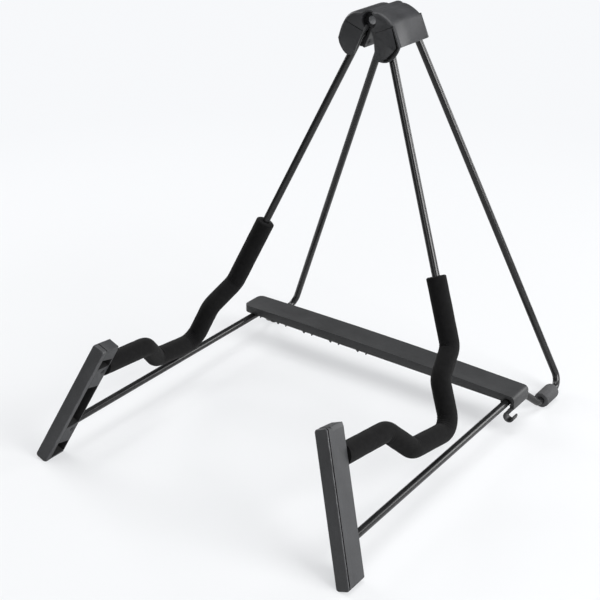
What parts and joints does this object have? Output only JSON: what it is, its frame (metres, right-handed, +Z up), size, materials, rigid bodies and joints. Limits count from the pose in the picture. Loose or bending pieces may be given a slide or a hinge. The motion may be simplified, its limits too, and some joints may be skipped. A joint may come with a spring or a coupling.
{
  "type": "folding guitar stand",
  "caption": "Folding A-frame guitar stand: two bent-rod side frames with foam arms on a moulded hinge, held apart by a notched crossbar.",
  "frame": {"origin": "bottom centre of the stand's box, on the floor", "axes": "+Z up; the arms reach towards -Y, where the guitar sits; +X is to the right, seen from the front"},
  "size_m": [0.3402, 0.3881, 0.3735],
  "materials": {
    "rod_paint": "satin black",
    "foam": "matte closed-cell foam",
    "rear_foot_rubber": "matte",
    "moulded_plastic": "fine moulded grain",
    "foot_strip_plastic": "fine moulded grain",
    "crossbar_plastic": "fine moulded grain",
    "screws": "black oxide",
    "pin_steel": "bright zinc"
  },
  "bodies": {
    "right_frame": {"right_side_wire": "rod_paint", "right_foam_sleeve": "foam", "right_rear_foot": "rear_foot_rubber", "right_foot_bar": "moulded_plastic", "right_foot_strip": "foot_strip_plastic", "right_foot_screw_upper": "screws", "right_foot_screw_lower": "screws", "right_hinge_shell": "moulded_plastic", "right_hinge_cover": "moulded_plastic", "right_hinge_screw_front": "screws", "right_hinge_screw_rear": "screws", "hinge_pin": "pin_steel", "hinge_pin_nut": "pin_steel"},
    "left_frame": {"left_side_wire": "rod_paint", "left_foam_sleeve": "foam", "left_rear_foot": "rear_foot_rubber", "left_foot_bar": "moulded_plastic", "left_foot_strip": "foot_strip_plastic", "left_foot_screw_upper": "screws", "left_foot_screw_lower": "screws", "left_hinge_shell": "moulded_plastic", "left_hinge_cover": "moulded_plastic", "left_hinge_screw_front": "screws", "left_hinge_screw_rear": "screws"},
    "crossbar": {"crossbar": "crossbar_plastic"}
  },
  "joints": [
    {"name": "fold", "type": "hinge", "parent": "right_frame", "child": "left_frame", "pos_m": [0, 0.11449, 0.36433], "axis": [0, -1, 0], "range_deg": [0, 45]},
    {"name": "crossbar_lift", "type": "hinge", "parent": "right_frame", "child": "crossbar", "pos_m": [0.15221, 0.11449, 0.02841], "axis": [0, 1, 0], "range_deg": [0, 62]}
  ],
  "couplings": [
    {"joint": "crossbar_lift", "follows": "fold", "ratio": 1.35}
  ]
}
